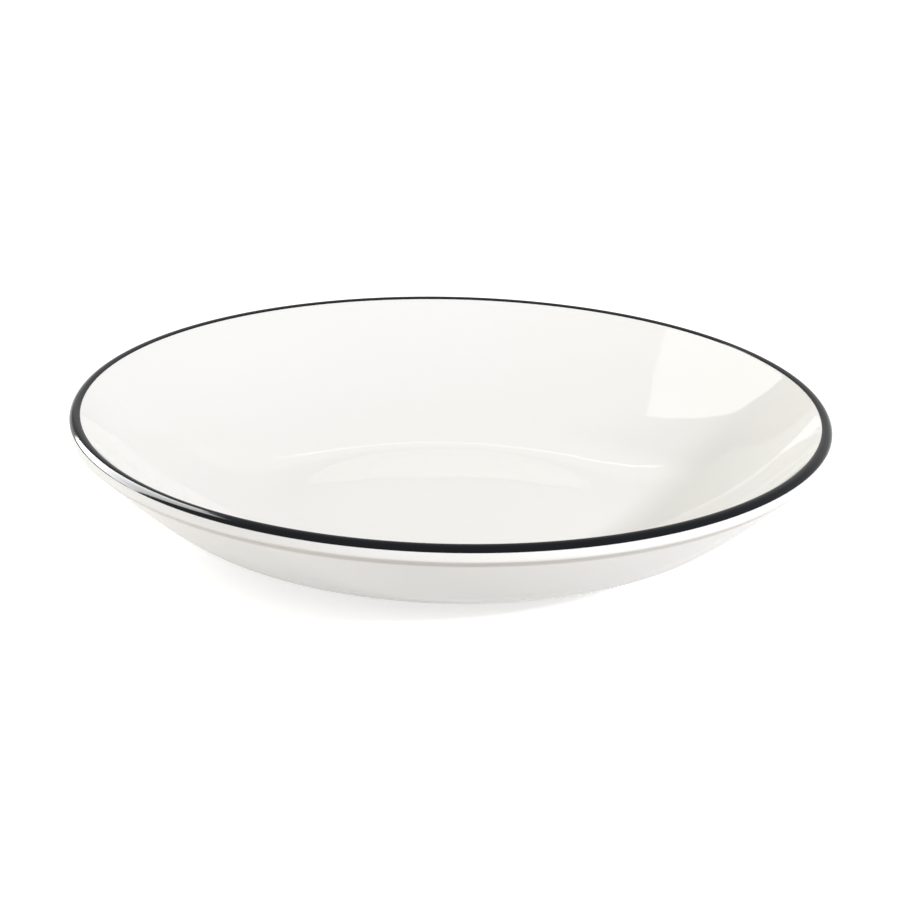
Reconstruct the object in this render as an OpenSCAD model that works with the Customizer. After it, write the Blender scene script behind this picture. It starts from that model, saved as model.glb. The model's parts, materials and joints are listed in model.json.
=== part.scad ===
// Deep coupe plate in glazed porcelain: a thickened lip with a collar, a painted line over the lip,
// a curved wall that runs down to a flat well, and a turned foot ring with a bare standing edge.
// Lengths are in millimetres. The section is drawn in radius and height and turned about +Z.
// Every outline follows one section of tangent arcs, set in by the thickness of what covers it.

/* [Rim] */
// Diameter over the glazed rim
rim_d = 220; // [204:1:260]
// Thickness of the rounded lip
lip_t = 3.9; // [3.2:0.1:4.8]
// How far the collar's lower edge stands out from the wall under it
collar_step = 0.25; // [0.1:0.05:0.9]
// Radius of the collar's lower edge
collar_edge_r = 1.6; // [0.8:0.1:2]
// Radius of the soft groove under the collar
groove_r = 2; // [1:0.1:2.4]

/* [Well and wall] */
// Depth of the well, from the top of the lip
well_depth = 30.2; // [27:0.1:33]
// Diameter of the flat of the well
well_d = 91.4; // [80:0.2:98]
// Thickness of the wall under the collar
wall_t = 4.7; // [4:0.1:5.8]
// Slope of the wall under the lip, as a share of the slope straight from the well to the lip
wall_slope_share = 1.91; // [1.7:0.01:1.95]
// How far the slope where the wall's two inside arcs meet stays below the steepest that they allow
turn_share = 0.145; // [0.05:0.005:0.4]
// Slope of the skirt, as a share of the slope straight from the foot ring to the collar
skirt_slope_share = 0.41; // [0.3:0.01:0.6]
// Part of the way from the foot ring to the collar that the straight skirt takes
skirt_share = 0.28; // [0.1:0.01:0.35]
// How far the slope where the wall's two outside arcs meet stays below the steepest that they allow
belly_share = 0.42; // [0.1:0.01:0.5]

/* [Foot] */
// Diameter of the foot ring over its standing edge
foot_d = 112; // [106:0.5:116]
// Width of the foot ring at its standing edge
foot_w = 3.6; // [3.2:0.1:4.6]
// Height of the foot ring on its outer side
foot_h = 2.6; // [2.3:0.1:2.9]
// Depth of the recess inside the foot ring
recess_h = 2.1; // [1.8:0.1:2.6]
// Thickness of the base in the middle, with its glaze
base_t = 4.2; // [3.8:0.1:5]
// Angle by which the foot ring's sides lean out, in degrees
foot_draft = 14; // [6:1:20]
// Radius of the standing edge's corners
foot_edge_r = 0.7; // [0.4:0.1:0.8]
// Radius of the corner between foot ring and body
foot_root_r = 1.6; // [1:0.1:2]
// Radius of the corner between foot ring and recess
recess_r = 0.9; // [0.5:0.1:1.2]

/* [Glaze and painted line] */
// Thickness of the glaze
glaze_t = 0.3; // [0.2:0.05:0.4]
// Height over the table at which the glaze stops on the foot ring
glaze_stop = 0.9; // [0.8:0.1:1.1]
// Thickness of the painted line
line_t = 0.15; // [0.1:0.05:0.25]
// Reach of the painted line down the inside, measured along the lip from its top
line_in = 1.15; // [0.8:0.05:1.4]
// Reach of the painted line down the outside, measured along the lip from its top
line_out = 2.75; // [2:0.05:2.9]

/* [Hidden] */
// Furthest that a drawn arc may lie off the true one
arc_dev = 0.015;
$fn = 180;
// Places of the values that an arc of the section is held by
CENTRE = 0;
RADIUS = 1;
FROM = 2;
TO = 3;

// Circles and heights of the section, all on the surface of the glaze
half_turn = 180;
quarter_turn = 90;
plate_h = well_depth + base_t + recess_h;
rim_r = rim_d / 2;
lip_r = lip_t / 2;
floor_z = plate_h - well_depth;
foot_r = foot_d / 2;
lip_c = [rim_r - lip_r, plate_h - lip_r];
well_edge = [well_d / 2, floor_z];
lip_slope = wall_slope_share * bearing(lip_c - well_edge);
lip_start = lip_c - lip_r * down_slope(lip_slope);
inner_arcs = arc_pair(well_edge, 0, lip_start, lip_slope, turn_share);

// Collar: its rounded lower edge, and the groove that leads into a flank parallel to the wall's inside
flank_c = inner_arcs[1][CENTRE];
flank_r = inner_arcs[1][RADIUS] + wall_t;
edge_c = on_circle(flank_c, flank_r + collar_step - collar_edge_r, rim_r - collar_edge_r);
groove_c = circles_meet(edge_c, collar_edge_r + groove_r, flank_c, flank_r + groove_r);
groove_slope = slope_of(flank_c, groove_c);
groove_end = flank_c + flank_r * down_slope(groove_slope);
edge_turn = bearing(groove_c - edge_c);

// Foot ring: corners of the standing edge
side_lean = [sin(foot_draft), cos(foot_draft)];
out_corner = [foot_r - foot_edge_r, foot_edge_r];
in_corner = [foot_r - foot_w + foot_edge_r, foot_edge_r];
out_normal = [cos(foot_draft), -sin(foot_draft)];
in_normal = [-cos(foot_draft), -sin(foot_draft)];
corner_r = foot_edge_r + glaze_t;
out_side = out_corner + corner_r * out_normal;
in_side = in_corner + corner_r * in_normal;

// Skirt and belly, from the foot ring's root to the groove
root = on_side(out_side, side_lean, foot_h);
skirt_slope = skirt_slope_share * bearing(groove_end - root);
skirt_w = skirt_share * (groove_end.x - root.x);
skirt_end = root + skirt_w * [1, tan(skirt_slope)];
outer_arcs = arc_pair(skirt_end, skirt_slope, groove_end, groove_slope, belly_share);

// Fillets at the foot ring's root, over the end of the glaze
glaze_top = glaze_stop + glaze_t;
side_turn = quarter_turn - foot_draft;
out_fillet_r = fitting_r(foot_root_r, (foot_h - glaze_top) / cos(foot_draft), side_turn - skirt_slope);
in_fillet_r = fitting_r(recess_r, (recess_h - glaze_top) / cos(foot_draft), side_turn);
out_fillet = fillet_centre(root, down_slope(skirt_slope), out_side, out_normal, out_fillet_r);
in_fillet = fillet_centre([0, recess_h], [0, -1], in_side, in_normal, in_fillet_r);

// Reaches of the painted line, as angles round the lip
line_in_turn = line_in / lip_r * half_turn / PI;
line_out_turn = line_out / lip_r * half_turn / PI;

// Unit vector that points out of a surface of this slope, downwards and away from the axis
function down_slope(slope) = [sin(slope), -cos(slope)];

// Slope of the wall where a circle's tangent lies under or over the point at, seen from its centre
function slope_of(centre, at) = atan2(at.x - centre.x, centre.y - at.y);

// Compass bearing of a vector, from the outward radius
function bearing(v) = atan2(v.y, v.x);

// Lower point of a circle at a given distance from the axis
function on_circle(centre, radius, x) =
    [x, centre.y - sqrt(radius * radius - (x - centre.x) * (x - centre.x))];

// Two tangent arcs from p, at its slope, to q, at its steeper slope. Both radii allow them to meet at a
// slope between the least and the most, and the share says how far below the most that slope stays.
function arc_pair(p, p_slope, q, q_slope, share) =
    let (chord = bearing(q - p))
    let (least = max(p_slope, 2 * chord - q_slope))
    let (most = min(q_slope, 2 * chord - p_slope))
    let (mid_slope = most - share * (most - least))
    let (lower = down_slope(mid_slope) - down_slope(p_slope))
    let (upper = down_slope(q_slope) - down_slope(mid_slope))
    let (way = q - p)
    let (lower_r = cross(way, upper) / cross(lower, upper))
    let (upper_r = cross(lower, way) / cross(lower, upper))
    [[p - lower_r * down_slope(p_slope), lower_r, p_slope, mid_slope],
     [q - upper_r * down_slope(q_slope), upper_r, mid_slope, q_slope]];

// Where circles about a and b meet, on the left of the way from a to b
function circles_meet(a, a_r, b, b_r) =
    let (gap = norm(b - a))
    let (along = (a_r * a_r - b_r * b_r + gap * gap) / (2 * gap))
    let (across = sqrt(a_r * a_r - along * along))
    let (way = (b - a) / gap)
    a + along * way + across * [-way.y, way.x];

// Centre of a fillet on the open side of two straight flanks, each given by a point and its normal
function fillet_centre(p, p_normal, q, q_normal, radius) =
    let (p_far = p * p_normal + radius)
    let (q_far = q * q_normal + radius)
    let (turn = cross(p_normal, q_normal))
    [(p_far * q_normal.y - q_far * p_normal.y) / turn, (q_far * p_normal.x - p_far * q_normal.x) / turn];

// Radius of a fillet, no larger than the flat wall beside it leaves room for
function fitting_r(wish, wall, turn) = min(wish, wall / tan(turn / 2));

// Points along an arc, close enough together that it stays within arc_dev
function arc(centre, radius, from, to) =
    let (step = 2 * acos(1 - arc_dev / radius))
    let (steps = max(2, ceil(abs(to - from) / step)))
    [for (k = [0:steps])
        let (a = from + (to - from) * k / steps)
        centre + radius * [cos(a), sin(a)]];

// Two runs of points that share the end of one and the start of the other
function joined(a, b) = concat(a, [for (k = [1:len(b) - 1]) b[k]]);

function turned_round(points) = [for (k = [len(points) - 1:-1:0]) points[k]];

// Where a flank through p, leaning as the foot's sides do, reaches the height z
function on_side(p, lean, z) = p + lean * (z - p.y) / lean.y;

// Points along a pair of arcs from its lower end, further out by swell
function pair_points(arcs, swell) =
    let (runs = [for (a = arcs)
        arc(a[CENTRE], a[RADIUS] + swell, a[FROM] - quarter_turn, a[TO] - quarter_turn)])
    joined(runs[0], runs[1]);

// Inside of the plate, from the axis to the lip, set in by depth
function inside(depth) = concat([[0, floor_z - depth]], pair_points(inner_arcs, depth));

// Part of the lip between two bearings
function lip(depth, from, to) = arc(lip_c, lip_r - depth, from, to);

function whole_lip(depth) =
    let (first = lip(depth, quarter_turn + lip_slope, quarter_turn + line_in_turn))
    let (painted = lip(depth, quarter_turn + line_in_turn, quarter_turn - line_out_turn))
    let (last = lip(depth, quarter_turn - line_out_turn, 0))
    joined(joined(first, painted), last);

// Outside of the plate, from the collar's face to the glaze's end on the foot ring
function outside(depth) =
    concat(
        joined(
            joined(arc(edge_c, collar_edge_r - depth, 0, edge_turn),
                arc(groove_c, groove_r + depth, edge_turn + half_turn, groove_slope + quarter_turn)),
            turned_round(pair_points(outer_arcs, -depth))),
        arc(out_fillet, out_fillet_r + depth, skirt_slope + quarter_turn, half_turn - foot_draft),
        [on_side(out_side - depth * out_normal, side_lean, glaze_top - depth)]);

// Bare standing edge of the foot ring, on the body
function standing_edge() =
    concat(arc(out_corner, foot_edge_r, -foot_draft, -quarter_turn),
        arc(in_corner, foot_edge_r, -quarter_turn, foot_draft - half_turn));

// Underside inside the foot ring, from the glaze's end to the axis
function underside(depth) =
    concat([on_side(in_side - depth * in_normal, [-side_lean.x, side_lean.y], glaze_top - depth)],
        arc(in_fillet, in_fillet_r + depth, foot_draft, quarter_turn),
        [[0, recess_h + depth]]);

function coated(depth) = concat(joined(inside(depth), whole_lip(depth)), outside(depth));

module turned(points) {
    rotate_extrude() polygon(points);
}

// Fired porcelain body: wall, lip, collar, well and foot ring are one piece of clay
module plate_body() {
    color("whitesmoke") turned(concat(coated(glaze_t), standing_edge(), underside(glaze_t)));
}

// Glaze over the inside, the lip and the outside, thinning out above the standing edge
module glaze_coat() {
    color("ivory") turned(concat(coated(0), turned_round(coated(glaze_t))));
}

// Glaze inside the foot ring, apart from the rest
module base_glaze() {
    color("floralwhite") turned(concat(underside(0), turned_round(underside(glaze_t))));
}

// Painted line over the lip, with edges that thin out
module rim_line() {
    thin_out = line_t / lip_r * half_turn / PI;
    outer = lip(-line_t, quarter_turn + line_in_turn - thin_out, quarter_turn - line_out_turn + thin_out);
    inner = lip(0, quarter_turn + line_in_turn, quarter_turn - line_out_turn);
    color("black") turned(concat(outer, turned_round(inner)));
}

plate_body();
glaze_coat();
base_glaze();
rim_line();
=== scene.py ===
"""Looks of a deep coupe plate: glazed porcelain with a black line painted over its lip.

The plate is turned, so each of its four pieces is the section's outline carried round the axis by Geometry
Nodes. The outlines follow the same tangent arcs as the solids of the frame, drawn smooth. Sizes of the plate
are in millimetres, and those of the studio are in metres.
"""
import json
import logging
import math
from dataclasses import dataclass
from enum import Enum

import bmesh
import bpy
from mathutils import Matrix, Vector

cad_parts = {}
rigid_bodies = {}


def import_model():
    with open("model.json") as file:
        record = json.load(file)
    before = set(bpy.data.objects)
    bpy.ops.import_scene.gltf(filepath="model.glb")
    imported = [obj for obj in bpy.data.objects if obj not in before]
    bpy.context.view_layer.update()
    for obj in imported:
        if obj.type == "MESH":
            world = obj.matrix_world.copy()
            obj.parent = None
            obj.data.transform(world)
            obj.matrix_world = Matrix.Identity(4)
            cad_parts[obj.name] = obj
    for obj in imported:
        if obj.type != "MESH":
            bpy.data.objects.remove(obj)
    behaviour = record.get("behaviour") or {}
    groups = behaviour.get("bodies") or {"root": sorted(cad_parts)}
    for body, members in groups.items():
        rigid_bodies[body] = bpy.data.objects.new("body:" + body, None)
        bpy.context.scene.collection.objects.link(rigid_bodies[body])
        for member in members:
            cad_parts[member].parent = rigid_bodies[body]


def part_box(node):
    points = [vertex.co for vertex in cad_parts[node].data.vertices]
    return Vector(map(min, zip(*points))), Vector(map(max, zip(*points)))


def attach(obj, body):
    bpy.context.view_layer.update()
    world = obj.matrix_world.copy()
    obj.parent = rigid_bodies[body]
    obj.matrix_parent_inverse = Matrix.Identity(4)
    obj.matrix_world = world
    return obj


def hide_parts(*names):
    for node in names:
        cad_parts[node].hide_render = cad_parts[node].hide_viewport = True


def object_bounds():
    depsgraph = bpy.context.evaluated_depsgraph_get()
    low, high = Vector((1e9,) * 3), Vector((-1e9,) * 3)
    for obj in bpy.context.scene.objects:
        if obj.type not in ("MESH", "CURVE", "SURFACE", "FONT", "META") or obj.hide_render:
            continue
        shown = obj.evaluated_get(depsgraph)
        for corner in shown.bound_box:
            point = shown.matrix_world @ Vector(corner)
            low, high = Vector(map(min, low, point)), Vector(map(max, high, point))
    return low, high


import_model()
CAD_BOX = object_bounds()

LOG = logging.getLogger("plate")
MM = 0.001
WHOLE_TURN = 2 * math.pi
HALF_TURN = math.pi
QUARTER_TURN = math.pi / 2

# Places of a colour Mix node's share, of its two colours and of its result
MIX_SHARE = 0
MIX_FIRST = 6
MIX_SECOND = 7
MIX_RESULT = 2


class Slot(Enum):
    """Material slots of the record."""

    PORCELAIN = "porcelain"
    GLAZE = "glaze"
    ENAMEL = "line_enamel"


def linear(code: str) -> tuple[float, float, float, float]:
    """Turns an sRGB hex colour into linear light.

    Args:
        code: Six hex digits.

    Returns:
        Red, green, blue and an alpha of one.
    """
    parts = [int(code[k:k + 2], 16) / 255 for k in (0, 2, 4)]
    return tuple(c / 12.92 if c <= 0.04045 else ((c + 0.055) / 1.055) ** 2.4 for c in parts) + (1.0,)


def add_node(tree: bpy.types.NodeTree, kind: str, settings: dict | None = None, links: dict | None = None,
             **properties: object) -> bpy.types.Node:
    """Adds a node to a tree.

    Args:
        tree: Shader or geometry tree.
        kind: Blender's identifier of the node.
        settings: Value of each input that stays constant, by name or place.
        links: Output socket that each other input takes, by name or place.
        **properties: Properties of the node itself.

    Returns:
        The new node.
    """
    node = tree.nodes.new(kind)
    for name, value in properties.items():
        setattr(node, name, value)
    for key, value in (settings or {}).items():
        node.inputs[key].default_value = value
    for key, socket in (links or {}).items():
        tree.links.new(socket, node.inputs[key])
    return node


def down_slope(slope: float) -> Vector:
    """Unit vector out of a surface of this slope, downwards and away from the axis; slope in radians."""
    return Vector((math.sin(slope), -math.cos(slope)))


def bearing(v: Vector) -> float:
    """Angle of a vector over the outward radius."""
    return math.atan2(v.y, v.x)


def cross(a: Vector, b: Vector) -> float:
    """Third part of the cross product of two flat vectors."""
    return a.x * b.y - a.y * b.x


@dataclass(frozen=True)
class Arc:
    """Round stretch of the section.

    Attributes:
        centre: Its centre, in radius and height.
        radius: Its radius.
        start: Bearing of its first point from the centre.
        end: Bearing of its last point.
    """

    centre: Vector
    radius: float
    start: float
    end: float

    def points(self, swell: float = 0.0, chord: float = 1.1, turn: float = math.radians(4.5)) -> list[Vector]:
        """Points along the arc.

        Args:
            swell: How much further from the centre the points lie.
            chord: Longest step between two points.
            turn: Widest angle between two points.

        Returns:
            The points, both ends included.
        """
        radius = self.radius + swell
        span = self.end - self.start
        steps = max(2, math.ceil(max(abs(span) * radius / chord, abs(span) / turn)))
        bearings = (self.start + span * k / steps for k in range(steps + 1))
        return [self.centre + radius * Vector((math.cos(b), math.sin(b))) for b in bearings]


def arc_pair(p: Vector, p_slope: float, q: Vector, q_slope: float, share: float) -> tuple[Arc, Arc]:
    """Two tangent arcs from p up to q.

    Args:
        p: Lower point.
        p_slope: Slope at the lower point.
        q: Upper point.
        q_slope: Slope at the upper point, which is steeper.
        share: How far the slope where the arcs meet stays below the steepest that both radii allow.

    Returns:
        The lower and the upper arc.
    """
    chord = bearing(q - p)
    least = max(p_slope, 2 * chord - q_slope)
    most = min(q_slope, 2 * chord - p_slope)
    middle = most - share * (most - least)
    lower = down_slope(middle) - down_slope(p_slope)
    upper = down_slope(q_slope) - down_slope(middle)
    lower_r = cross(q - p, upper) / cross(lower, upper)
    upper_r = cross(lower, q - p) / cross(lower, upper)
    return (Arc(p - lower_r * down_slope(p_slope), lower_r, p_slope - QUARTER_TURN, middle - QUARTER_TURN),
            Arc(q - upper_r * down_slope(q_slope), upper_r, middle - QUARTER_TURN, q_slope - QUARTER_TURN))


def circles_meet(a: Vector, a_r: float, b: Vector, b_r: float) -> Vector:
    """Where two circles meet, on the left of the way from the first to the second.

    Args:
        a: Centre of the first circle.
        a_r: Radius of the first circle.
        b: Centre of the second circle.
        b_r: Radius of the second circle.

    Returns:
        The point on both circles.
    """
    gap = (b - a).length
    along = (a_r * a_r - b_r * b_r + gap * gap) / (2 * gap)
    across = math.sqrt(a_r * a_r - along * along)
    way = (b - a) / gap
    return a + along * way + across * Vector((-way.y, way.x))


def fillet_centre(p: Vector, p_normal: Vector, q: Vector, q_normal: Vector, radius: float) -> Vector:
    """Centre of a fillet on the open side of two straight flanks.

    Args:
        p: Point of the first flank.
        p_normal: Normal of the first flank.
        q: Point of the second flank.
        q_normal: Normal of the second flank.
        radius: Radius of the fillet.

    Returns:
        The fillet's centre.
    """
    p_far = p.dot(p_normal) + radius
    q_far = q.dot(q_normal) + radius
    turn = cross(p_normal, q_normal)
    return Vector((p_far * q_normal.y - q_far * p_normal.y, q_far * p_normal.x - p_far * q_normal.x)) / turn


def joined(*runs: list[Vector]) -> list[Vector]:
    """Runs of points in one, where each starts at the end of the one before."""
    return runs[0] + [point for run in runs[1:] for point in run[1:]]


@dataclass
class Section:
    """The plate's section, in radius and height; the fields are its driving sizes, lengths in millimetres.

    Attributes:
        rim_r: Radius over the glazed rim.
        height: Height of the lip over the table.
        lip_t: Thickness of the rounded lip.
        collar_step: How far the collar's lower edge stands out from the wall under it.
        collar_edge_r: Radius of the collar's lower edge.
        groove_r: Radius of the soft groove under the collar.
        base_t: Thickness of the base in the middle, with its glaze.
        well_d: Diameter of the flat of the well.
        wall_t: Thickness of the wall under the collar.
        wall_slope_share: Slope under the lip, as a share of the slope straight from the well to the lip.
        turn_share: How far the slope between the two inside arcs stays below the steepest they allow.
        skirt_slope_share: Slope of the skirt, as a share of the slope straight from foot to collar.
        skirt_share: Part of the way from the foot to the collar that the straight skirt takes.
        belly_share: How far the slope between the two outside arcs stays below the steepest they allow.
        foot_d: Diameter of the foot ring over its standing edge.
        foot_w: Width of the foot ring at its standing edge.
        foot_h: Height of the foot ring on its outer side.
        recess_h: Depth of the recess inside the foot ring.
        foot_draft: Angle by which the foot ring's sides lean out, in radians.
        foot_edge_r: Radius of the standing edge's corners.
        foot_root_r: Radius of the corner between foot ring and body.
        recess_r: Radius of the corner between foot ring and recess.
        glaze_t: Thickness of the glaze.
        glaze_stop: Height over the table at which the glaze stops on the foot ring.
        line_t: Thickness of the painted line.
        line_in: Reach of the line down the inside, measured along the lip from its top.
        line_out: Reach of the line down the outside, measured along the lip from its top.
    """

    rim_r: float
    height: float
    lip_t: float = 3.9
    collar_step: float = 0.25
    collar_edge_r: float = 1.6
    groove_r: float = 2.0
    base_t: float = 4.2
    well_d: float = 91.4
    wall_t: float = 4.7
    wall_slope_share: float = 1.91
    turn_share: float = 0.145
    skirt_slope_share: float = 0.41
    skirt_share: float = 0.28
    belly_share: float = 0.42
    foot_d: float = 112.0
    foot_w: float = 3.6
    foot_h: float = 2.6
    recess_h: float = 2.1
    foot_draft: float = math.radians(14)
    foot_edge_r: float = 0.7
    foot_root_r: float = 1.6
    recess_r: float = 0.9
    glaze_t: float = 0.3
    glaze_stop: float = 0.9
    line_t: float = 0.15
    line_in: float = 1.15
    line_out: float = 2.75

    def __post_init__(self) -> None:
        """Works out the circles of the section."""
        self.lip_r = self.lip_t / 2
        self.floor_z = self.base_t + self.recess_h
        self.lip_c = Vector((self.rim_r - self.lip_r, self.height - self.lip_r))
        well_edge = Vector((self.well_d / 2, self.floor_z))
        self.lip_slope = self.wall_slope_share * bearing(self.lip_c - well_edge)
        lip_start = self.lip_c - self.lip_r * down_slope(self.lip_slope)
        self.inner = arc_pair(well_edge, 0.0, lip_start, self.lip_slope, self.turn_share)
        self.place_collar()
        self.place_foot()
        skirt_end = self.root + self.skirt_share * (self.groove_end.x - self.root.x) * Vector(
            (1, math.tan(self.skirt_slope)))
        self.outer = arc_pair(skirt_end, self.skirt_slope, self.groove_end, self.groove_slope,
                              self.belly_share)

    def place_collar(self) -> None:
        """Sets the collar's lower edge and the groove, which leads into a flank parallel to the inside."""
        flank_c = self.inner[1].centre
        flank_r = self.inner[1].radius + self.wall_t
        reach = flank_r + self.collar_step - self.collar_edge_r
        edge_x = self.rim_r - self.collar_edge_r
        self.edge_c = Vector((edge_x, flank_c.y - math.sqrt(reach ** 2 - (edge_x - flank_c.x) ** 2)))
        self.groove_c = circles_meet(self.edge_c, self.collar_edge_r + self.groove_r, flank_c,
                                     flank_r + self.groove_r)
        away = self.groove_c - flank_c
        self.groove_slope = math.atan2(away.x, -away.y)
        self.groove_end = flank_c + flank_r * down_slope(self.groove_slope)
        self.edge_turn = bearing(self.groove_c - self.edge_c)

    def place_foot(self) -> None:
        """Sets the foot ring's corners, sides and fillets, and the slope of the skirt."""
        foot_r = self.foot_d / 2
        lean = self.foot_draft
        self.side_lean = Vector((math.sin(lean), math.cos(lean)))
        self.out_corner = Vector((foot_r - self.foot_edge_r, self.foot_edge_r))
        self.in_corner = Vector((foot_r - self.foot_w + self.foot_edge_r, self.foot_edge_r))
        self.out_normal = Vector((math.cos(lean), -math.sin(lean)))
        self.in_normal = Vector((-math.cos(lean), -math.sin(lean)))
        corner_r = self.foot_edge_r + self.glaze_t
        self.out_side = self.out_corner + corner_r * self.out_normal
        self.in_side = self.in_corner + corner_r * self.in_normal
        self.root = self.on_side(self.out_side, 1, self.foot_h)
        self.skirt_slope = self.skirt_slope_share * bearing(self.groove_end - self.root)
        self.glaze_top = self.glaze_stop + self.glaze_t
        turn = QUARTER_TURN - lean
        self.out_fillet_r = min(self.foot_root_r, (self.foot_h - self.glaze_top) / math.cos(lean)
                                / math.tan((turn - self.skirt_slope) / 2))
        self.in_fillet_r = min(self.recess_r, (self.recess_h - self.glaze_top) / math.cos(lean)
                               / math.tan(turn / 2))
        self.out_fillet = fillet_centre(self.root, down_slope(self.skirt_slope), self.out_side,
                                        self.out_normal, self.out_fillet_r)
        self.in_fillet = fillet_centre(Vector((0, self.recess_h)), Vector((0, -1)), self.in_side,
                                       self.in_normal, self.in_fillet_r)

    def on_side(self, p: Vector, way: int, z: float) -> Vector:
        """Where the foot's flank through p reaches the height z; way is 1 outside and -1 inside."""
        return p + Vector((way * self.side_lean.x, self.side_lean.y)) * (z - p.y) / self.side_lean.y

    def lip(self, swell: float, start: float, end: float) -> list[Vector]:
        """Part of the lip between two bearings, swell outside the glaze."""
        return Arc(self.lip_c, self.lip_r, start, end).points(swell)

    def coated(self, depth: float) -> list[Vector]:
        """Inside, lip and outside as far as the glaze's end on the foot ring.

        Args:
            depth: How far under the glaze's surface the outline lies.

        Returns:
            Points from the axis out over the lip and down to the foot ring.
        """
        flat_steps = 14
        well_r = self.well_d / 2
        floor = [Vector((well_r * k / flat_steps, self.floor_z - depth)) for k in range(flat_steps + 1)]
        inside = joined(floor, self.inner[0].points(depth), self.inner[1].points(depth),
                        self.lip(-depth, QUARTER_TURN + self.lip_slope, 0))
        edge = Arc(self.edge_c, self.collar_edge_r, 0, self.edge_turn)
        groove = Arc(self.groove_c, self.groove_r, self.edge_turn + HALF_TURN,
                     self.groove_slope + QUARTER_TURN)
        outside = joined(edge.points(-depth), groove.points(depth), self.outer[1].points(-depth)[::-1],
                         self.outer[0].points(-depth)[::-1])
        fillet = Arc(self.out_fillet, self.out_fillet_r, self.skirt_slope + QUARTER_TURN,
                     HALF_TURN - self.foot_draft)
        end = self.on_side(self.out_side - depth * self.out_normal, 1, self.glaze_top - depth)
        return inside + outside + fillet.points(depth) + [end]

    def standing_edge(self) -> list[Vector]:
        """Bare edge that the plate stands on."""
        lean = self.foot_draft
        return (Arc(self.out_corner, self.foot_edge_r, -lean, -QUARTER_TURN).points()
                + Arc(self.in_corner, self.foot_edge_r, -QUARTER_TURN, lean - HALF_TURN).points())

    def underside(self, depth: float) -> list[Vector]:
        """Underside inside the foot ring.

        Args:
            depth: How far under the glaze's surface the outline lies.

        Returns:
            Points from the glaze's end on the foot ring to the axis.
        """
        end = self.on_side(self.in_side - depth * self.in_normal, -1, self.glaze_top - depth)
        fillet = Arc(self.in_fillet, self.in_fillet_r, self.foot_draft, QUARTER_TURN).points(depth)
        return [end] + fillet + [Vector((0, self.recess_h + depth))]

    def body(self) -> list[Vector]:
        """Outline of the porcelain body."""
        return self.coated(self.glaze_t) + self.standing_edge() + self.underside(self.glaze_t)

    def coat(self) -> list[Vector]:
        """Outline of the glaze over the inside, the lip and the outside."""
        return self.coated(0) + self.coated(self.glaze_t)[::-1]

    def base_coat(self) -> list[Vector]:
        """Outline of the glaze inside the foot ring."""
        return self.underside(self.glaze_t)[::-1] + self.underside(0)

    def line(self) -> list[Vector]:
        """Outline of the painted line, which thins out at both of its edges.

        Returns:
            Points round the line's section, back to the first one.
        """
        thin = self.line_t / self.lip_r
        start = QUARTER_TURN + self.line_in / self.lip_r
        end = QUARTER_TURN - self.line_out / self.lip_r
        outline = self.lip(self.line_t, start - thin, end + thin) + self.lip(0, start, end)[::-1]
        return outline + outline[:1]


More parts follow.
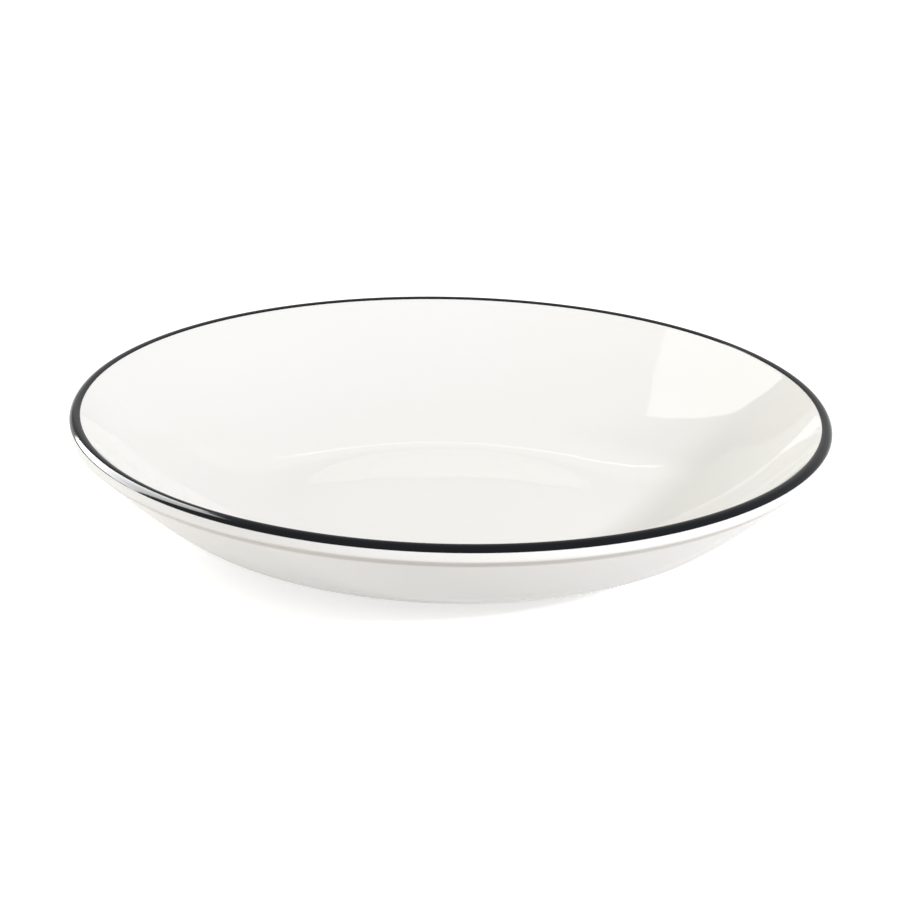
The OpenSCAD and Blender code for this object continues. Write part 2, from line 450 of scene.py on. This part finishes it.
class TurnedTree:
    """Geometry tree that carries an outline round the axis and closes its seam and poles.

    Attributes:
        STEPS, WARP, WARP_SIZE, FINISH: Names of the tree's inputs.
        MERGE: How near two points are made one, in metres.
        WARP_HEIGHT: Height at which the warp is full, in metres.
        SHARP: Angle from which an edge stays sharp.
    """

    STEPS = "Steps round"
    WARP = "Warp"
    WARP_SIZE = "Warp size"
    FINISH = "Finish"
    MERGE = 1e-7
    WARP_HEIGHT = 0.006
    SHARP = math.radians(38)

    def __init__(self) -> None:
        """Builds the tree."""
        self.tree = bpy.data.node_groups.new("turned_outline", "GeometryNodeTree")
        face = self.tree.interface
        face.new_socket("Geometry", in_out="INPUT", socket_type="NodeSocketGeometry")
        kinds = {self.STEPS: "NodeSocketInt", self.WARP: "NodeSocketFloat",
                 self.WARP_SIZE: "NodeSocketFloat", self.FINISH: "NodeSocketMaterial"}
        self.ids = {name: face.new_socket(name, in_out="INPUT", socket_type=kind).identifier
                    for name, kind in kinds.items()}
        face.new_socket("Geometry", in_out="OUTPUT", socket_type="NodeSocketGeometry")
        self.inputs = add_node(self.tree, "NodeGroupInput").outputs
        turned = self.turn(self.inputs["Geometry"])
        warped = self.warp(turned)
        self.finish(warped)

    def math(self, operation: str, a: object, b: object = 0.0) -> bpy.types.NodeSocket:
        """Adds a Math node.

        Args:
            operation: What the node does.
            a: First socket or number.
            b: Second socket or number.

        Returns:
            The socket with the result.
        """
        given = {0: a, 1: b}
        links = {k: v for k, v in given.items() if isinstance(v, bpy.types.NodeSocket)}
        settings = {k: v for k, v in given.items() if k not in links}
        return add_node(self.tree, "ShaderNodeMath", settings, links, operation=operation).outputs[0]

    def turn(self, outline: bpy.types.NodeSocket) -> bpy.types.NodeSocket:
        """Lays a grid along the outline and round the axis.

        Args:
            outline: Geometry whose points are the outline, in order, in the XZ plane.

        Returns:
            The turned mesh, with its seam and poles merged.
        """
        count = add_node(self.tree, "GeometryNodeAttributeDomainSize", links={"Geometry": outline})
        across = self.math("ADD", self.inputs[self.STEPS], 1)
        grid = add_node(self.tree, "GeometryNodeMeshGrid",
                        links={"Vertices X": count.outputs["Point Count"], "Vertices Y": across})
        index = add_node(self.tree, "GeometryNodeInputIndex").outputs["Index"]
        ring = self.math("FLOOR", self.math("DIVIDE", index, across))
        step = self.math("MODULO", index, across)
        place = add_node(self.tree, "GeometryNodeInputPosition").outputs["Position"]
        sample = add_node(self.tree, "GeometryNodeSampleIndex", links={
            "Geometry": outline, "Value": place, "Index": ring}, data_type="FLOAT_VECTOR", domain="POINT")
        parts = add_node(self.tree, "ShaderNodeSeparateXYZ", links={0: sample.outputs["Value"]}).outputs
        angle = self.math("MULTIPLY", self.math("DIVIDE", step, self.inputs[self.STEPS]), WHOLE_TURN)
        point = add_node(self.tree, "ShaderNodeCombineXYZ", links={
            "X": self.math("MULTIPLY", parts["X"], self.math("COSINE", angle)),
            "Y": self.math("MULTIPLY", parts["X"], self.math("SINE", angle)), "Z": parts["Z"]})
        placed = add_node(self.tree, "GeometryNodeSetPosition", links={
            "Geometry": grid.outputs["Mesh"], "Position": point.outputs["Vector"]})
        merged = add_node(self.tree, "GeometryNodeMergeByDistance", {"Distance": self.MERGE},
                          {"Geometry": placed.outputs["Geometry"]})
        return merged.outputs["Geometry"]

    def warp(self, geometry: bpy.types.NodeSocket) -> bpy.types.NodeSocket:
        """Shifts the points a little, the more the higher they lie, as firing and a poured glaze do.

        The shift depends on the place alone, so layers that lie on each other stay together. The noise
        reaches half of one either way, so the warp counts twice.

        Args:
            geometry: The turned mesh.

        Returns:
            The mesh with its points shifted.
        """
        place = add_node(self.tree, "GeometryNodeInputPosition").outputs["Position"]
        fineness = self.math("DIVIDE", 1.0, self.inputs[self.WARP_SIZE])
        noise = add_node(self.tree, "ShaderNodeTexNoise", {"Detail": 1.0},
                         {"Vector": place, "Scale": fineness}, noise_dimensions="3D")
        centred = add_node(self.tree, "ShaderNodeVectorMath", {1: (0.5, 0.5, 0.5)},
                           {0: noise.outputs["Color"]}, operation="SUBTRACT")
        height = add_node(self.tree, "ShaderNodeSeparateXYZ", links={0: place}).outputs["Z"]
        grown = add_node(self.tree, "ShaderNodeMapRange", {"From Max": self.WARP_HEIGHT}, {"Value": height})
        reach = self.math("MULTIPLY", self.math("MULTIPLY", self.inputs[self.WARP], 2.0),
                          grown.outputs["Result"])
        shift = add_node(self.tree, "ShaderNodeVectorMath", links={
            0: centred.outputs["Vector"], "Scale": reach}, operation="SCALE")
        moved = add_node(self.tree, "GeometryNodeSetPosition", links={
            "Geometry": geometry, "Offset": shift.outputs["Vector"]})
        return moved.outputs["Geometry"]

    def finish(self, geometry: bpy.types.NodeSocket) -> None:
        """Shades the mesh smooth with its sharp edges kept, and ends the tree.

        Args:
            geometry: The shifted mesh.
        """
        smooth = add_node(self.tree, "GeometryNodeSetShadeSmooth", {"Shade Smooth": True},
                          {"Geometry": geometry}, domain="FACE")
        angle = add_node(self.tree, "GeometryNodeInputMeshEdgeAngle").outputs["Unsigned Angle"]
        sharp = self.math("GREATER_THAN", angle, self.SHARP)
        edges = add_node(self.tree, "GeometryNodeSetShadeSmooth", {"Shade Smooth": False},
                         {"Geometry": smooth.outputs["Geometry"], "Selection": sharp}, domain="EDGE")
        real = add_node(self.tree, "GeometryNodeRealizeInstances",
                        links={"Geometry": edges.outputs["Geometry"]})
        dressed = add_node(self.tree, "GeometryNodeSetMaterial", links={
            "Geometry": real.outputs["Geometry"], "Material": self.inputs[self.FINISH]})
        add_node(self.tree, "NodeGroupOutput", links={"Geometry": dressed.outputs["Geometry"]})

    def mesh(self, name: str, outline: list[Vector], steps: int, warp: float, warp_size: float,
             finish: bpy.types.Material) -> bpy.types.Mesh:
        """Turns an outline.

        Args:
            name: Name of the mesh.
            outline: Points in radius and height, in millimetres.
            steps: Steps round the axis.
            warp: Furthest shift of a point, in millimetres.
            warp_size: Size of the uneven patches, in millimetres.
            finish: Material of the piece.

        Returns:
            A plain mesh in metres.
        """
        drawn = bpy.data.meshes.new(name + "_outline")
        edges = [(k, k + 1) for k in range(len(outline) - 1)]
        drawn.from_pydata([(p.x * MM, 0, p.y * MM) for p in outline], edges, [])
        rail = bpy.data.objects.new(name + "_outline", drawn)
        bpy.context.scene.collection.objects.link(rail)
        turning = rail.modifiers.new("turned", "NODES")
        turning.node_group = self.tree
        for key, value in ((self.STEPS, steps), (self.WARP, warp * MM), (self.WARP_SIZE, warp_size * MM),
                           (self.FINISH, finish)):
            turning[self.ids[key]] = value
        seen = rail.evaluated_get(bpy.context.evaluated_depsgraph_get())
        mesh = bpy.data.meshes.new_from_object(seen)
        rail.modifiers.remove(turning)
        bpy.data.objects.remove(rail)
        bpy.data.meshes.remove(drawn)
        mesh.name = name
        return mesh


def reach_of(tree: bpy.types.NodeTree, place: bpy.types.NodeSocket) -> bpy.types.NodeSocket:
    """Way of a point from the plate's axis.

    Args:
        tree: Node tree of a material.
        place: Socket that gives the point.

    Returns:
        The socket that gives the way, in metres.
    """
    flat = add_node(tree, "ShaderNodeVectorMath", {1: (1, 1, 0)}, {0: place}, operation="MULTIPLY")
    way = add_node(tree, "ShaderNodeVectorMath", links={0: flat.outputs[0]}, operation="LENGTH")
    return way.outputs["Value"]


@dataclass(frozen=True)
class Glaze:
    """Clear feldspar glaze over white porcelain: a smooth, wet gloss over a warm white that hardly varies.

    The groove under the lip carries painted shade: its colour is darkened there to a thin warm grey line.

    Attributes:
        groove_c: Centre of the groove in the section, in millimetres.
        groove_r: Radius of the groove, in millimetres.
        patch_mm: Size of the warmer patches.
        groove_shade_mm: How far from the groove's surface the painted shade still shows.
        peel_mm: Size of the soft unevenness that firing leaves.
        peel_depth_mm: Depth of that unevenness.
    """

    groove_c: Vector
    groove_r: float
    name: str = "clear_glaze_on_porcelain"
    white: str = "F5F4F1"
    warm: str = "F4F3EC"
    patch_mm: float = 45.0
    # Painted shade: the warm grey that darkens the groove under the lip
    painted_groove_shade: str = "CCC5BC"
    groove_shade_mm: float = 0.9
    roughness: float = 0.035
    peel_mm: float = 9.0
    peel_depth_mm: float = 0.03
    ior: float = 1.5

    def build(self) -> bpy.types.Material:
        """Makes the material.

        Returns:
            The material, ready to use.
        """
        material = bpy.data.materials.new(self.name)
        material.use_nodes = True
        tree = material.node_tree
        shader = tree.nodes["Principled BSDF"]
        shader.inputs["IOR"].default_value = self.ior
        shader.inputs["Roughness"].default_value = self.roughness
        place = add_node(tree, "ShaderNodeTexCoord").outputs["Object"]
        patches = add_node(tree, "ShaderNodeTexNoise", {"Scale": 1 / (self.patch_mm * MM), "Detail": 2.0},
                           {"Vector": place})
        coat = add_node(tree, "ShaderNodeMix", {MIX_FIRST: linear(self.white), MIX_SECOND: linear(self.warm)},
                        {MIX_SHARE: patches.outputs["Fac"]}, data_type="RGBA")
        # Painted shade: the colour turns darker warm grey in the groove under the lip
        colour = add_node(tree, "ShaderNodeMix", {MIX_SECOND: linear(self.painted_groove_shade)},
                          {MIX_SHARE: self.groove_shade_mask(tree, place), MIX_FIRST: coat.outputs[MIX_RESULT]},
                          data_type="RGBA")
        tree.links.new(colour.outputs[MIX_RESULT], shader.inputs["Base Color"])
        peel = add_node(tree, "ShaderNodeTexNoise", {"Scale": 1 / (self.peel_mm * MM), "Detail": 1.0},
                        {"Vector": place})
        bump = add_node(tree, "ShaderNodeBump", {"Strength": 1.0, "Distance": self.peel_depth_mm * MM},
                        {"Height": peel.outputs["Fac"]})
        tree.links.new(bump.outputs["Normal"], shader.inputs["Normal"])
        return material

    def groove_shade_mask(self, tree: bpy.types.NodeTree, place: bpy.types.NodeSocket) -> bpy.types.NodeSocket:
        """Finds where the painted shade in the groove under the lip lies.

        Args:
            tree: Node tree of the material.
            place: Socket that gives the point.

        Returns:
            Socket that is one in the groove under the lip and falls off beside it.
        """
        up = add_node(tree, "ShaderNodeSeparateXYZ", links={0: place}).outputs["Z"]
        across = add_node(tree, "ShaderNodeCombineXYZ", links={"X": reach_of(tree, place), "Z": up})
        away = add_node(tree, "ShaderNodeVectorMath", {1: (self.groove_c.x * MM, 0, self.groove_c.y * MM)},
                        {0: across.outputs[0]}, operation="DISTANCE")
        groove_shade_mask = add_node(tree, "ShaderNodeMapRange", {"From Min": (self.groove_r + self.groove_shade_mm) * MM,
                                                     "From Max": self.groove_r * MM},
                        {"Value": away.outputs["Value"]}, interpolation_type="SMOOTHSTEP")
        return groove_shade_mask.outputs["Result"]


@dataclass(frozen=True)
class Biscuit:
    """Fired porcelain left bare, wiped and slightly sanded: dull and finely grained.

    Attributes:
        grain_mm: Size of the grains.
        grain_depth_mm: Depth between the grains.
        grain_strength: Share of that depth that the shading shows.
    """

    name: str = "bare_fired_porcelain"
    white: str = "EDE9E0"
    shade: str = "DFD8CB"
    grain_mm: float = 0.5
    grain_depth_mm: float = 0.02
    grain_strength: float = 0.6
    roughness: float = 0.62
    ior: float = 1.5

    def build(self) -> bpy.types.Material:
        """Makes the material.

        Returns:
            The material, ready to use.
        """
        material = bpy.data.materials.new(self.name)
        material.use_nodes = True
        tree = material.node_tree
        shader = tree.nodes["Principled BSDF"]
        shader.inputs["IOR"].default_value = self.ior
        shader.inputs["Roughness"].default_value = self.roughness
        place = add_node(tree, "ShaderNodeTexCoord").outputs["Object"]
        grain = add_node(tree, "ShaderNodeTexNoise", {"Scale": 1 / (self.grain_mm * MM), "Detail": 4.0},
                         {"Vector": place})
        colour = add_node(tree, "ShaderNodeMix",
                          {MIX_FIRST: linear(self.white), MIX_SECOND: linear(self.shade)},
                          {MIX_SHARE: grain.outputs["Fac"]}, data_type="RGBA")
        tree.links.new(colour.outputs[MIX_RESULT], shader.inputs["Base Color"])
        bump = add_node(tree, "ShaderNodeBump",
                        {"Strength": self.grain_strength, "Distance": self.grain_depth_mm * MM},
                        {"Height": grain.outputs["Fac"]})
        tree.links.new(bump.outputs["Normal"], shader.inputs["Normal"])
        return material


@dataclass(frozen=True)
class Enamel:
    """Black overglaze enamel, brushed on and fired: a glossy blue black with fine strokes along the rim.

    Attributes:
        across_mm: Width of a brush stroke.
        along_mm: Length of a brush stroke.
        stroke_depth_mm: Depth between the strokes.
    """

    name: str = "fired_black_enamel"
    black: str = "080B0E"
    thin: str = "101419"
    across_mm: float = 0.35
    along_mm: float = 9.0
    stroke_depth_mm: float = 0.006
    roughness: float = 0.1
    ior: float = 1.5
    specular: float = 0.14

    def build(self) -> bpy.types.Material:
        """Makes the material.

        Returns:
            The material, ready to use.
        """
        material = bpy.data.materials.new(self.name)
        material.use_nodes = True
        tree = material.node_tree
        shader = tree.nodes["Principled BSDF"]
        shader.inputs["IOR"].default_value = self.ior
        shader.inputs["Specular IOR Level"].default_value = self.specular
        shader.inputs["Roughness"].default_value = self.roughness
        strokes = self.strokes(tree, add_node(tree, "ShaderNodeTexCoord").outputs["Object"])
        colour = add_node(tree, "ShaderNodeMix",
                          {MIX_FIRST: linear(self.black), MIX_SECOND: linear(self.thin)},
                          {MIX_SHARE: strokes}, data_type="RGBA")
        tree.links.new(colour.outputs[MIX_RESULT], shader.inputs["Base Color"])
        bump = add_node(tree, "ShaderNodeBump", {"Strength": 1.0, "Distance": self.stroke_depth_mm * MM},
                        {"Height": strokes})
        tree.links.new(bump.outputs["Normal"], shader.inputs["Normal"])
        return material

    def strokes(self, tree: bpy.types.NodeTree, place: bpy.types.NodeSocket) -> bpy.types.NodeSocket:
        """Makes brush strokes that run long round the rim and short across the line.

        Args:
            tree: Node tree of the material.
            place: Socket that gives the point.

        Returns:
            Socket with the strokes' noise.
        """
        parts = add_node(tree, "ShaderNodeSeparateXYZ", links={0: place}).outputs
        turn = add_node(tree, "ShaderNodeMath", links={0: parts["Y"], 1: parts["X"]}, operation="ARCTAN2")
        round_rim = add_node(tree, "ShaderNodeMath", {1: CAD_BOX[1].x / (self.along_mm * MM)},
                             {0: turn.outputs[0]}, operation="MULTIPLY")
        fine = 1 / (self.across_mm * MM)
        up = add_node(tree, "ShaderNodeMath", {1: fine}, {0: parts["Z"]}, operation="MULTIPLY")
        out = add_node(tree, "ShaderNodeMath", {1: fine}, {0: reach_of(tree, place)}, operation="MULTIPLY")
        along = add_node(tree, "ShaderNodeCombineXYZ", links={
            "X": round_rim.outputs[0], "Y": up.outputs[0], "Z": out.outputs[0]})
        noise = add_node(tree, "ShaderNodeTexNoise", {"Scale": 1.0, "Detail": 2.0},
                         {"Vector": along.outputs[0]})
        return noise.outputs["Fac"]


@dataclass
class Plate:
    """The plate: a porcelain body, its glaze in two parts and the painted line.

    Attributes:
        section: The section that all pieces follow.
        tree: Geometry tree that turns the outlines.
        steps: Steps round the axis.
        warp: How far firing moves a point, in millimetres.
        warp_size: Size of the uneven patches, in millimetres.
    """

    section: Section
    tree: TurnedTree
    steps: int = 256
    warp: float = 0.004
    warp_size: float = 14.0

    def piece(self, name: str, node: str, outline: list[Vector], slot: Slot,
              finish: bpy.types.Material) -> bpy.types.Object:
        """Makes one piece and sets it in the frame.

        Args:
            name: Name of the piece.
            node: Node of the frame that it stands for.
            outline: Its outline, in radius and height.
            slot: Its slot in the record; not used.
            finish: Its material.

        Returns:
            The finished object.
        """
        mesh = self.tree.mesh(name, outline, self.steps, self.warp, self.warp_size, finish)
        made = bpy.data.objects.new(name, mesh)
        bpy.context.scene.collection.objects.link(made)
        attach(made, "root")
        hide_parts(node)
        shape = bmesh.new()
        shape.from_mesh(mesh)
        open_edges = sum(len(edge.link_faces) != 2 for edge in shape.edges)
        volume = shape.calc_volume(signed=True)
        shape.free()
        LOG.info("%s: %d faces, %d open edges, %.0f mm3", name, len(mesh.polygons), open_edges,
                 volume / MM ** 3)
        return made

    def build(self) -> None:
        """Makes the four pieces, from the body outwards."""
        glaze = Glaze(self.section.groove_c, self.section.groove_r).build()
        self.piece("porcelain_body", "plate_body", self.section.body(), Slot.PORCELAIN, Biscuit().build())
        self.piece("glaze_over_body", "glaze_coat", self.section.coat(), Slot.GLAZE, glaze)
        self.piece("glaze_in_foot", "base_glaze", self.section.base_coat(), Slot.GLAZE, glaze)
        self.piece("painted_line", "rim_line", self.section.line(), Slot.ENAMEL, Enamel().build())


@dataclass(frozen=True)
class Sheet:
    """Flat sheet of the studio that faces the plate.

    Attributes:
        name: What it is called.
        azimuth: Where its middle stands, in degrees from straight behind the plate towards the right.
        elevation: How high its middle stands, in degrees over the table.
        distance: How far its middle is from the plate, in metres.
        width: Its width, in metres.
        height: Its height, in metres.
    """

    name: str
    azimuth: float
    elevation: float
    distance: float
    width: float
    height: float

    def place(self, made: bpy.types.Object) -> None:
        """Stands an object in the sheet's place, facing the plate and hidden from every camera.

        Args:
            made: The lamp or the card.
        """
        turn, rise = math.radians(self.azimuth), math.radians(self.elevation)
        way = Vector((math.sin(turn) * math.cos(rise), math.cos(turn) * math.cos(rise), math.sin(rise)))
        made.location = Vector((0, 0, CAD_BOX[1].z)) + way * self.distance
        made.rotation_mode = "QUATERNION"
        made.rotation_quaternion = way.to_track_quat("Z", "Y")
        made.visible_camera = False
        bpy.context.scene.collection.objects.link(made)
        LOG.info("%s at %.0f, %.0f", made.name, self.azimuth, self.elevation)

    def pane(self, material: bpy.types.Material) -> bpy.types.Object:
        """Makes the sheet as a flat card and stands it in its place.

        Args:
            material: The card's material.

        Returns:
            The card.
        """
        x, y = self.width / 2, self.height / 2
        mesh = bpy.data.meshes.new(self.name)
        mesh.from_pydata([(-x, -y, 0), (x, -y, 0), (x, y, 0), (-x, y, 0)], [], [(0, 1, 2, 3)])
        mesh.materials.append(material)
        made = bpy.data.objects.new(self.name, mesh)
        self.place(made)
        return made


@dataclass(frozen=True)
class Softbox(Sheet):
    """Soft lamp that gloss doesn't show.

    Attributes:
        radiance: How bright it is, where one is white.
        colour: Colour of its light.
    """

    radiance: float
    colour: str = "FFFFFF"

    def build(self) -> None:
        """Makes the lamp."""
        lamp = bpy.data.lights.new(self.name, "AREA")
        lamp.shape = "RECTANGLE"
        lamp.size, lamp.size_y = self.width, self.height
        lamp.energy = self.radiance * math.pi * self.width * self.height
        lamp.color = linear(self.colour)[:3]
        held = bpy.data.objects.new(self.name, lamp)
        self.place(held)
        held.visible_glossy = False


@dataclass(frozen=True)
class Pane(Sheet):
    """Window or backdrop that only gloss shows.

    Attributes:
        radiance: How bright it is, where one is white.
        fades: Shares of its size over which it thins out to the left, to the right, upwards and downwards.
        piece: The only piece that shows it, over what stands behind it, or nothing where all pieces do.
    """

    radiance: float
    fades: tuple[float, float, float, float] = (0.0, 0.0, 0.0, 0.0)
    piece: str = ""

    def build(self) -> None:
        """Makes the pane."""
        material = bpy.data.materials.new(self.name)
        material.use_nodes = True
        tree = material.node_tree
        tree.nodes.remove(tree.nodes["Principled BSDF"])
        glow = add_node(tree, "ShaderNodeEmission", {"Color": linear("FFFFFF"), "Strength": self.radiance})
        clear = add_node(tree, "ShaderNodeBsdfTransparent")
        if self.piece:
            seen = add_node(tree, "ShaderNodeAddShader", links={0: clear.outputs[0], 1: glow.outputs[0]})
        else:
            seen = add_node(tree, "ShaderNodeMixShader", links={0: self.cover(tree), 1: clear.outputs[0],
                                                                2: glow.outputs[0]})
        tree.links.new(seen.outputs[0], tree.nodes["Material Output"].inputs["Surface"])
        face = self.pane(material)
        face.visible_diffuse = face.visible_shadow = False
        if self.piece:
            shown = bpy.data.collections.new(self.name)
            shown.objects.link(bpy.data.objects[self.piece])
            face.light_linking.receiver_collection = shown

    def cover(self, tree: bpy.types.NodeTree) -> bpy.types.NodeSocket:
        """Finds how much of what stands behind it the pane covers.

        Args:
            tree: Node tree of the pane's material.

        Returns:
            Socket that is one and falls off towards the edges that thin out.
        """
        place = add_node(tree, "ShaderNodeTexCoord").outputs["Object"]
        sides = add_node(tree, "ShaderNodeSeparateXYZ", links={0: place}).outputs
        x, y = self.width / 2, self.height / 2
        left, right, top, bottom = self.fades
        whole = add_node(tree, "ShaderNodeValue")
        whole.outputs[0].default_value = 1.0
        cover = whole.outputs[0]
        for side, edge, inward in (("X", x, -left * self.width), ("X", -x, right * self.width),
                                   ("Y", y, -top * self.height), ("Y", -y, bottom * self.height)):
            if inward:
                fade = add_node(tree, "ShaderNodeMapRange", {"From Min": edge, "From Max": edge + inward},
                                {"Value": sides[side]}, interpolation_type="SMOOTHSTEP")
                cover = add_node(tree, "ShaderNodeMath", links={0: cover, 1: fade.outputs["Result"]},
                                 operation="MULTIPLY").outputs[0]
        return cover


@dataclass(frozen=True)
class Studio:
    """Plain soft studio: a pale floor, white surroundings, soft lamps, and a window and cards for the gloss.

    Attributes:
        floor_r: Radius of the floor, in metres.
        gap_r: Radius of the opening in the floor that the foot ring covers, in metres.
        floor: Colour of the floor.
        floor_lift: White that the floor adds where it is seen.
        floor_gloss: Share of that white that gloss shows.
        air: Brightness of the surroundings as light on the plate.
        sheets: The lamps, the window and the cards.
    """

    floor_r: float = 2.6
    gap_r: float = 0.0552
    floor: str = "E1E0DE"
    floor_lift: float = 0.62
    floor_gloss: float = 0.68
    air: float = 0.54
    # Each row gives name, azimuth, elevation, distance, width, height and radiance, then colour or fades
    sheets: tuple[Sheet, ...] = (
        Softbox("key_softbox", 127, 25.7, 1.6, 0.13, 0.11, 318, "F5F6FF"),
        Softbox("window_softbox", -57, 36, 1.4, 1.19, 0.75, 1.6, "FFFBF0"),
        Softbox("back_softbox", 0, 25, 1.5, 2.2, 1.0, 0.85, "FFFCF6"),
        Softbox("low_back_softbox", 0, 7, 1.5, 2.0, 0.35, 0.6),
        Softbox("left_softbox", -125, 14, 1.5, 2.4, 0.7, 0.85, "F8F8FF"),
        Softbox("low_left_softbox", -80, 7, 1.5, 1.4, 0.35, 2.1),
        Softbox("front_softbox", 180, 22, 1.5, 1.6, 0.6, 0.16, "FFFAF0"),
        Pane("window_pane", -62.2, 23.9, 1.1, 0.88, 1.214, 2.35),
        Pane("window_glint", -62.2, 23.9, 1.099, 0.88, 1.214, 24.0, piece="painted_line"),
        Pane("white_board", 0, 13.5, 1.5, 1.226, 0.72, 0.77),
        Pane("board_foot", -14.5, 5.0, 1.48, 0.34, 0.12, 1.5, (0.2, 0.2, 0.0, 0.0)),
        Pane("board_edge", -3, 32, 1.49, 0.5, 0.018, 2.4, (0.25, 0.25, 0.0, 0.0)),
        Pane("dark_gap", -25, 31, 1.7, 0.86, 1.65, 0.45, (0.0, 0.35, 0.4, 0.0)),
        Pane("right_wall", 45, 25, 1.6, 1.3, 1.5, 0.85, (0.0, 0.3, 0.4, 0.0)),
    )

    def seen_rays(self, tree: bpy.types.NodeTree, gloss: float = 1.0) -> bpy.types.NodeSocket:
        """Tells the rays that show the surroundings from the rays that only light things.

        Args:
            tree: Node tree of a material or of the world.
            gloss: Share that rays from gloss count for.

        Returns:
            Socket that is one for rays from the camera and through glass, the given share for gloss, and
            zero for other rays.
        """
        path = add_node(tree, "ShaderNodeLightPath").outputs
        glossy = add_node(tree, "ShaderNodeMath", {1: gloss}, {0: path["Is Glossy Ray"]},
                          operation="MULTIPLY")
        pair = add_node(tree, "ShaderNodeMath", links={0: path["Is Camera Ray"], 1: glossy.outputs[0]},
                        operation="MAXIMUM")
        both = add_node(tree, "ShaderNodeMath", links={0: pair.outputs[0], 1: path["Is Transmission Ray"]},
                        operation="MAXIMUM")
        return both.outputs[0]

    def build_floor(self) -> None:
        """Makes the floor, open under the foot and clear from below, so that no view is blocked."""
        steps = 96
        rings = (self.gap_r, self.floor_r)
        corners = [(r * math.cos(WHOLE_TURN * k / steps), r * math.sin(WHOLE_TURN * k / steps), 0)
                   for r in rings for k in range(steps)]
        faces = [(k, steps + k, steps + (k + 1) % steps, (k + 1) % steps) for k in range(steps)]
        mesh = bpy.data.meshes.new("floor")
        mesh.from_pydata(corners, [], faces)
        made = bpy.data.objects.new("floor", mesh)
        bpy.context.scene.collection.objects.link(made)
        paper = bpy.data.materials.new("white_paper")
        paper.use_nodes = True
        tree = paper.node_tree
        tree.nodes.remove(tree.nodes["Principled BSDF"])
        matt = add_node(tree, "ShaderNodeBsdfDiffuse", {"Color": linear(self.floor)})
        lift = add_node(tree, "ShaderNodeMath", {1: self.floor_lift},
                        {0: self.seen_rays(tree, self.floor_gloss)}, operation="MULTIPLY")
        glow = add_node(tree, "ShaderNodeEmission", {"Color": linear("FFFFFF")},
                        {"Strength": lift.outputs[0]})
        lit = add_node(tree, "ShaderNodeAddShader", links={0: matt.outputs[0], 1: glow.outputs[0]})
        clear = add_node(tree, "ShaderNodeBsdfTransparent")
        back = add_node(tree, "ShaderNodeNewGeometry").outputs["Backfacing"]
        sided = add_node(tree, "ShaderNodeMixShader", links={0: back, 1: lit.outputs[0], 2: clear.outputs[0]})
        tree.links.new(sided.outputs[0], tree.nodes["Material Output"].inputs["Surface"])
        mesh.materials.append(paper)

    def build_air(self) -> None:
        """Sets the surroundings: white where they are seen or mirrored, and an even light otherwise."""
        world = bpy.data.worlds.new("white_surroundings")
        bpy.context.scene.world = world
        world.use_nodes = True
        tree = world.node_tree
        tree.nodes.clear()
        strength = add_node(tree, "ShaderNodeMapRange", {"To Min": self.air, "To Max": 1.0},
                            {"Value": self.seen_rays(tree)})
        light = add_node(tree, "ShaderNodeBackground", {"Color": linear("FFFFFF")},
                         {"Strength": strength.outputs["Result"]})
        add_node(tree, "ShaderNodeOutputWorld", links={"Surface": light.outputs[0]})

    def build(self) -> None:
        """Makes the studio."""
        self.build_floor()
        self.build_air()
        for sheet in self.sheets:
            sheet.build()


@dataclass(frozen=True)
class PhotoCamera:
    """Camera that sees the plate as the photograph does.

    Attributes:
        elevation: Height over the rim's plane, in degrees.
        distance: Way to the middle of the rim's top, in metres.
        focal_px: Focal length, in pixels of the photograph.
        roll: Turn about the line of sight, in degrees.
        rim_px: Where the middle of the rim's top lies in the photograph.
        frame_px: Width and height of the photograph, in pixels.
        sensor_mm: Width of the camera's sensor.
        near: Nearest distance that the camera sees, in metres.
        far: Furthest distance that the camera sees, in metres.
    """

    elevation: float = 19.182
    distance: float = 1.1733
    focal_px: float = 4054.9
    roll: float = 1.301
    rim_px: tuple[float, float] = (451.249, 409.819)
    frame_px: int = 900
    sensor_mm: float = 36.0
    near: float = 0.01
    far: float = 20.0

    def build(self) -> None:
        """Makes the camera and aims it, with no shift."""
        data = bpy.data.cameras.new("photo_camera")
        data.sensor_width = self.sensor_mm
        data.lens = self.focal_px / self.frame_px * self.sensor_mm
        data.clip_start, data.clip_end = self.near, self.far
        rise = math.radians(self.elevation)
        back = Vector((0, -math.cos(rise), math.sin(rise)))
        half = self.frame_px / 2
        right, down = self.rim_px[0] - half, self.rim_px[1] - half
        rim_way = Vector((right / self.focal_px, -down / self.focal_px, -1))
        aim = rim_way.rotation_difference(Vector((0, 0, -1))).to_matrix()
        level = (-back).to_track_quat("-Z", "Y").to_matrix()
        turned = level @ Matrix.Rotation(math.radians(self.roll), 3, "Z") @ aim
        camera = bpy.data.objects.new("photo_camera", data)
        camera.location = Vector((0, 0, CAD_BOX[1].z)) + back * self.distance
        camera.rotation_mode = "QUATERNION"
        camera.rotation_quaternion = turned.to_quaternion()
        bpy.context.scene.collection.objects.link(camera)
        bpy.context.scene.camera = camera


def main() -> None:
    """Builds the plate, the studio and the camera."""
    logging.basicConfig(level=logging.INFO, format="%(message)s")
    bpy.context.scene.view_settings.view_transform = "Standard"
    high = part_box("glaze_coat")[1]
    Plate(Section(rim_r=high.x / MM, height=high.z / MM), TurnedTree()).build()
    Studio().build()
    PhotoCamera().build()


if __name__ == "__main__":
    main()
